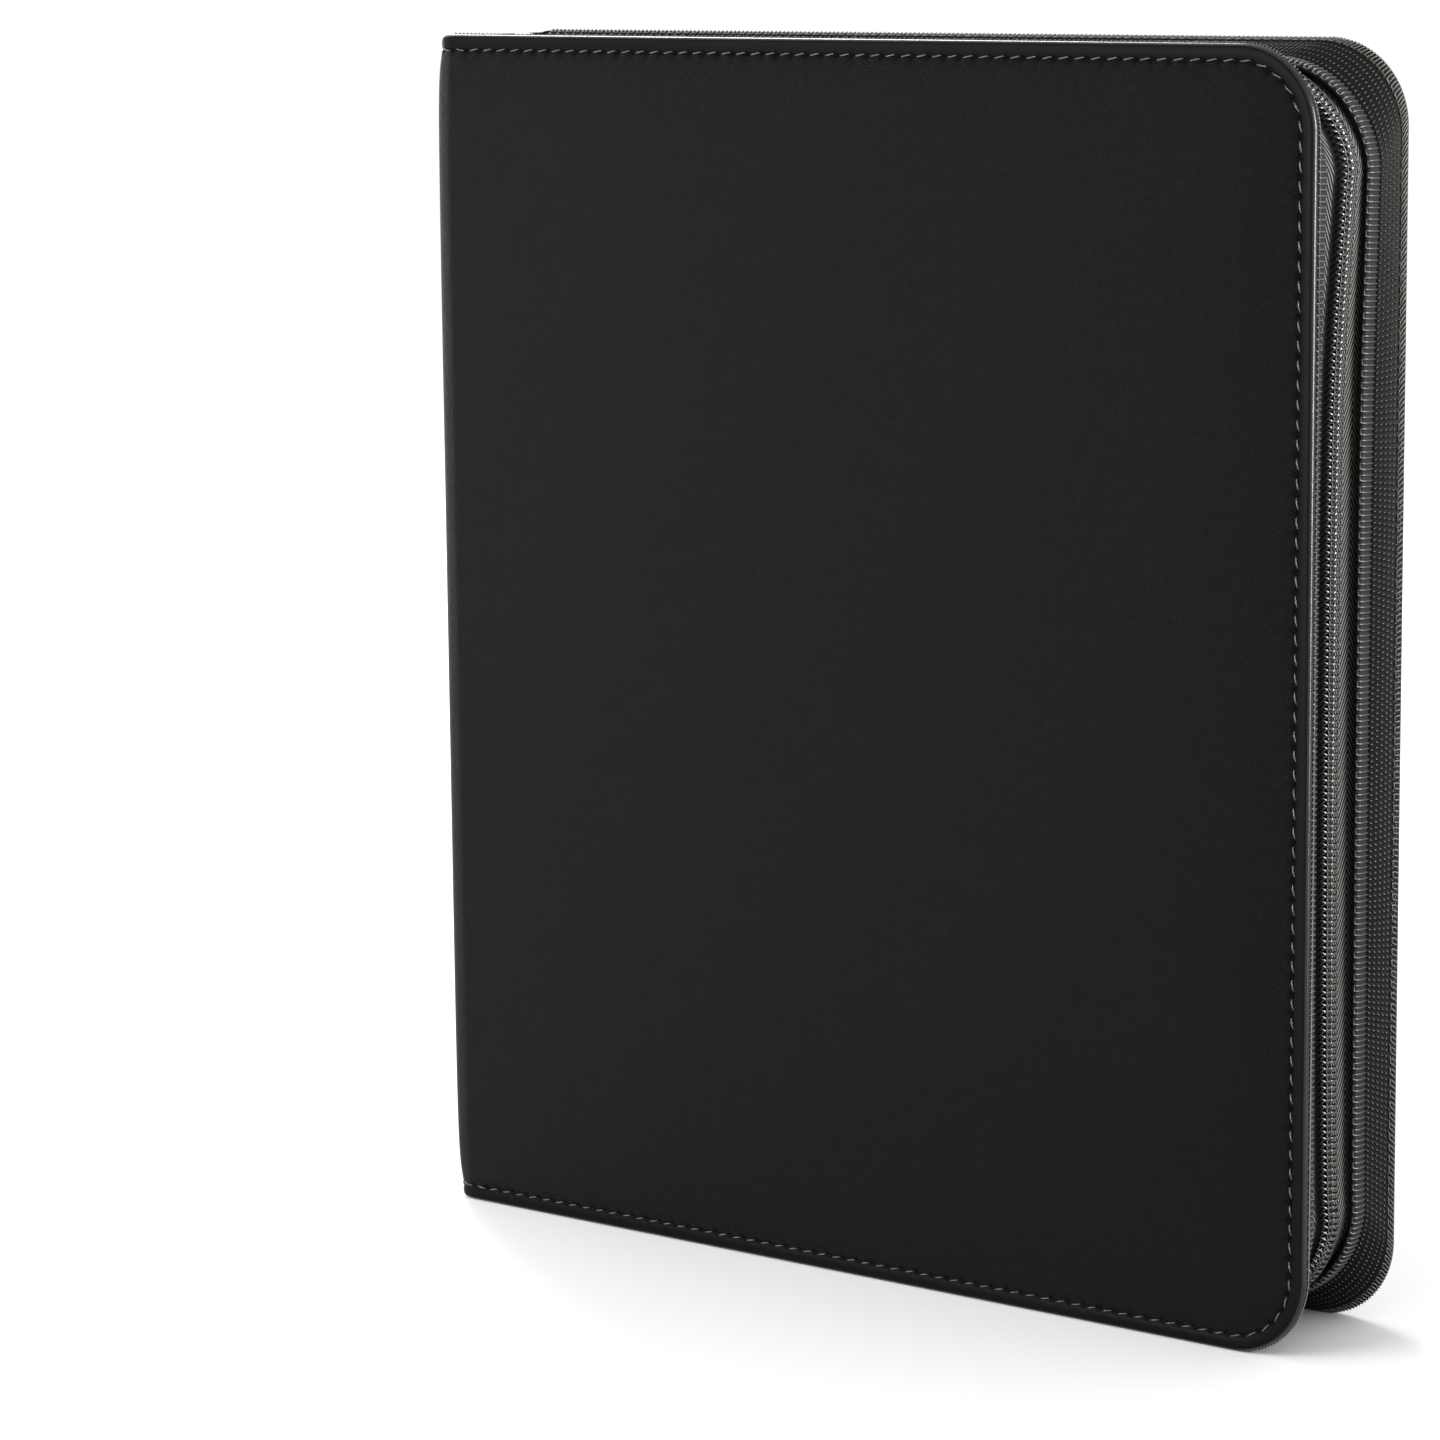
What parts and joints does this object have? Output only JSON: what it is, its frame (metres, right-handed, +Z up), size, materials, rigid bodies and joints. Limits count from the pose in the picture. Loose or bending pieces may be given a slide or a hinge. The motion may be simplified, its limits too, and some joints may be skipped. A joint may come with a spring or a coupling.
{
  "type": "zippered trading card binder",
  "caption": "Zip-around leather-look binder that opens flat on a hinged spine and holds bound pages of clear side-loading card pockets.",
  "frame": {"origin": "centre of the bottom of the closed binder's box, on the surface it stands on", "axes": "+Z up along the spine, +X from the spine to the fore edge, -Y out of the front cover, +Y out of the back cover"},
  "size_m": [0.272, 0.045, 0.32],
  "materials": {
    "leather": "matte black fine-grained PU leather, glossier on its rolled edge",
    "foam": "thin foam padding",
    "board": "grey bookbinding board",
    "lining": "smooth dark lining",
    "webbing": "coarse black woven nylon",
    "binding": "ribbed black binding tape",
    "zip_tape": "black herringbone zip tape",
    "zip_coil": "black nylon coil",
    "slider_metal": "bright nickel-plated zinc",
    "page_film": "soft translucent film over black woven backing"
  },
  "bodies": {
    "back_cover": {"back_cover_leather": "leather", "back_cover_foam": "foam", "back_cover_board": "board", "back_cover_lining": "lining", "back_gusset": "webbing", "back_gusset_binding": "binding", "back_zip_tape": "zip_tape", "back_zip_coil": "zip_coil"},
    "spine": {"spine_leather": "leather", "spine_foam": "foam", "spine_board": "board", "spine_lining": "lining", "leaf_strip": "webbing", "zip_end_top": "webbing", "zip_end_bottom": "webbing"},
    "front_cover": {"front_cover_leather": "leather", "front_cover_foam": "foam", "front_cover_board": "board", "front_cover_lining": "lining", "front_gusset": "webbing", "front_gusset_binding": "binding", "front_zip_tape": "zip_tape", "front_zip_coil": "zip_coil"},
    "zip_slider": {"zip_slider": "slider_metal"},
    "zip_pull": {"zip_pull": "slider_metal"},
    "leaf_01": {"leaf_01": "page_film"},
    "leaf_02": {"leaf_02": "page_film"},
    "leaf_03": {"leaf_03": "page_film"},
    "leaf_04": {"leaf_04": "page_film"},
    "leaf_05": {"leaf_05": "page_film"},
    "leaf_06": {"leaf_06": "page_film"},
    "leaf_07": {"leaf_07": "page_film"},
    "leaf_08": {"leaf_08": "page_film"},
    "leaf_09": {"leaf_09": "page_film"},
    "leaf_10": {"leaf_10": "page_film"},
    "leaf_11": {"leaf_11": "page_film"},
    "leaf_12": {"leaf_12": "page_film"},
    "leaf_13": {"leaf_13": "page_film"},
    "leaf_14": {"leaf_14": "page_film"},
    "leaf_15": {"leaf_15": "page_film"},
    "leaf_16": {"leaf_16": "page_film"},
    "leaf_17": {"leaf_17": "page_film"},
    "leaf_18": {"leaf_18": "page_film"},
    "leaf_19": {"leaf_19": "page_film"},
    "leaf_20": {"leaf_20": "page_film"}
  },
  "joints": [
    {"name": "spine_hinge", "type": "hinge", "parent": "back_cover", "child": "spine", "pos_m": [-0.133, 0.0195, 0.16], "axis": [0, 0, -1], "range_deg": [0, 90]},
    {"name": "front_hinge", "type": "hinge", "parent": "spine", "child": "front_cover", "pos_m": [-0.133, -0.0195, 0.16], "axis": [0, 0, -1], "range_deg": [0, 90]},
    {"name": "zip_slide", "type": "slide", "parent": "back_cover", "child": "zip_slider", "axis": [1, 0, 0], "range_m": [0, 0.215]},
    {"name": "pull_swing", "type": "hinge", "parent": "zip_slider", "child": "zip_pull", "pos_m": [-0.1216, 0, 0.318], "axis": [0, -1, 0], "range_deg": [0, 160]},
    {"name": "leaf_01_turn", "type": "hinge", "parent": "spine", "child": "leaf_01", "pos_m": [-0.133, -0.0195, 0.16], "axis": [0, 0, -1], "range_deg": [0, 90]},
    {"name": "leaf_02_turn", "type": "hinge", "parent": "spine", "child": "leaf_02", "pos_m": [-0.133, -0.0195, 0.16], "axis": [0, 0, -1], "range_deg": [0, 89.5]},
    {"name": "leaf_03_turn", "type": "hinge", "parent": "spine", "child": "leaf_03", "pos_m": [-0.133, -0.0195, 0.16], "axis": [0, 0, -1], "range_deg": [0, 89]},
    {"name": "leaf_04_turn", "type": "hinge", "parent": "spine", "child": "leaf_04", "pos_m": [-0.133, -0.0195, 0.16], "axis": [0, 0, -1], "range_deg": [0, 88.5]},
    {"name": "leaf_05_turn", "type": "hinge", "parent": "spine", "child": "leaf_05", "pos_m": [-0.133, -0.0195, 0.16], "axis": [0, 0, -1], "range_deg": [0, 88]},
    {"name": "leaf_06_turn", "type": "hinge", "parent": "spine", "child": "leaf_06", "pos_m": [-0.133, -0.0195, 0.16], "axis": [0, 0, -1], "range_deg": [0, 87.5]},
    {"name": "leaf_07_turn", "type": "hinge", "parent": "spine", "child": "leaf_07", "pos_m": [-0.133, -0.0195, 0.16], "axis": [0, 0, -1], "range_deg": [0, 87]},
    {"name": "leaf_08_turn", "type": "hinge", "parent": "spine", "child": "leaf_08", "pos_m": [-0.133, -0.0195, 0.16], "axis": [0, 0, -1], "range_deg": [0, 86.5]},
    {"name": "leaf_09_turn", "type": "hinge", "parent": "spine", "child": "leaf_09", "pos_m": [-0.133, -0.0195, 0.16], "axis": [0, 0, -1], "range_deg": [0, 86]},
    {"name": "leaf_10_turn", "type": "hinge", "parent": "spine", "child": "leaf_10", "pos_m": [-0.133, -0.0195, 0.16], "axis": [0, 0, -1], "range_deg": [0, 85.5]},
    {"name": "leaf_11_turn", "type": "hinge", "parent": "spine", "child": "leaf_11", "pos_m": [-0.133, 0.0195, 0.16], "axis": [0, 0, -1], "range_deg": [-85.5, 0]},
    {"name": "leaf_12_turn", "type": "hinge", "parent": "spine", "child": "leaf_12", "pos_m": [-0.133, 0.0195, 0.16], "axis": [0, 0, -1], "range_deg": [-86, 0]},
    {"name": "leaf_13_turn", "type": "hinge", "parent": "spine", "child": "leaf_13", "pos_m": [-0.133, 0.0195, 0.16], "axis": [0, 0, -1], "range_deg": [-86.5, 0]},
    {"name": "leaf_14_turn", "type": "hinge", "parent": "spine", "child": "leaf_14", "pos_m": [-0.133, 0.0195, 0.16], "axis": [0, 0, -1], "range_deg": [-87, 0]},
    {"name": "leaf_15_turn", "type": "hinge", "parent": "spine", "child": "leaf_15", "pos_m": [-0.133, 0.0195, 0.16], "axis": [0, 0, -1], "range_deg": [-87.5, 0]},
    {"name": "leaf_16_turn", "type": "hinge", "parent": "spine", "child": "leaf_16", "pos_m": [-0.133, 0.0195, 0.16], "axis": [0, 0, -1], "range_deg": [-88, 0]},
    {"name": "leaf_17_turn", "type": "hinge", "parent": "spine", "child": "leaf_17", "pos_m": [-0.133, 0.0195, 0.16], "axis": [0, 0, -1], "range_deg": [-88.5, 0]},
    {"name": "leaf_18_turn", "type": "hinge", "parent": "spine", "child": "leaf_18", "pos_m": [-0.133, 0.0195, 0.16], "axis": [0, 0, -1], "range_deg": [-89, 0]},
    {"name": "leaf_19_turn", "type": "hinge", "parent": "spine", "child": "leaf_19", "pos_m": [-0.133, 0.0195, 0.16], "axis": [0, 0, -1], "range_deg": [-89.5, 0]},
    {"name": "leaf_20_turn", "type": "hinge", "parent": "spine", "child": "leaf_20", "pos_m": [-0.133, 0.0195, 0.16], "axis": [0, 0, -1], "range_deg": [-90, 0]}
  ],
  "couplings": [
    {"joint": "leaf_01_turn", "follows": "front_hinge", "ratio": 0.99444},
    {"joint": "leaf_02_turn", "follows": "front_hinge", "ratio": 0.98889},
    {"joint": "leaf_03_turn", "follows": "front_hinge", "ratio": 0.98333},
    {"joint": "leaf_04_turn", "follows": "front_hinge", "ratio": 0.97778},
    {"joint": "leaf_05_turn", "follows": "front_hinge", "ratio": 0.97222},
    {"joint": "leaf_06_turn", "follows": "front_hinge", "ratio": 0.96667},
    {"joint": "leaf_07_turn", "follows": "front_hinge", "ratio": 0.96111},
    {"joint": "leaf_08_turn", "follows": "front_hinge", "ratio": 0.95556},
    {"joint": "leaf_09_turn", "follows": "front_hinge", "ratio": 0.95},
    {"joint": "leaf_10_turn", "follows": "front_hinge", "ratio": 0.94444},
    {"joint": "leaf_11_turn", "follows": "spine_hinge", "ratio": -0.94444},
    {"joint": "leaf_12_turn", "follows": "spine_hinge", "ratio": -0.95},
    {"joint": "leaf_13_turn", "follows": "spine_hinge", "ratio": -0.95556},
    {"joint": "leaf_14_turn", "follows": "spine_hinge", "ratio": -0.96111},
    {"joint": "leaf_15_turn", "follows": "spine_hinge", "ratio": -0.96667},
    {"joint": "leaf_16_turn", "follows": "spine_hinge", "ratio": -0.97222},
    {"joint": "leaf_17_turn", "follows": "spine_hinge", "ratio": -0.97778},
    {"joint": "leaf_18_turn", "follows": "spine_hinge", "ratio": -0.98333},
    {"joint": "leaf_19_turn", "follows": "spine_hinge", "ratio": -0.98889},
    {"joint": "leaf_20_turn", "follows": "spine_hinge", "ratio": -0.99444}
  ]
}
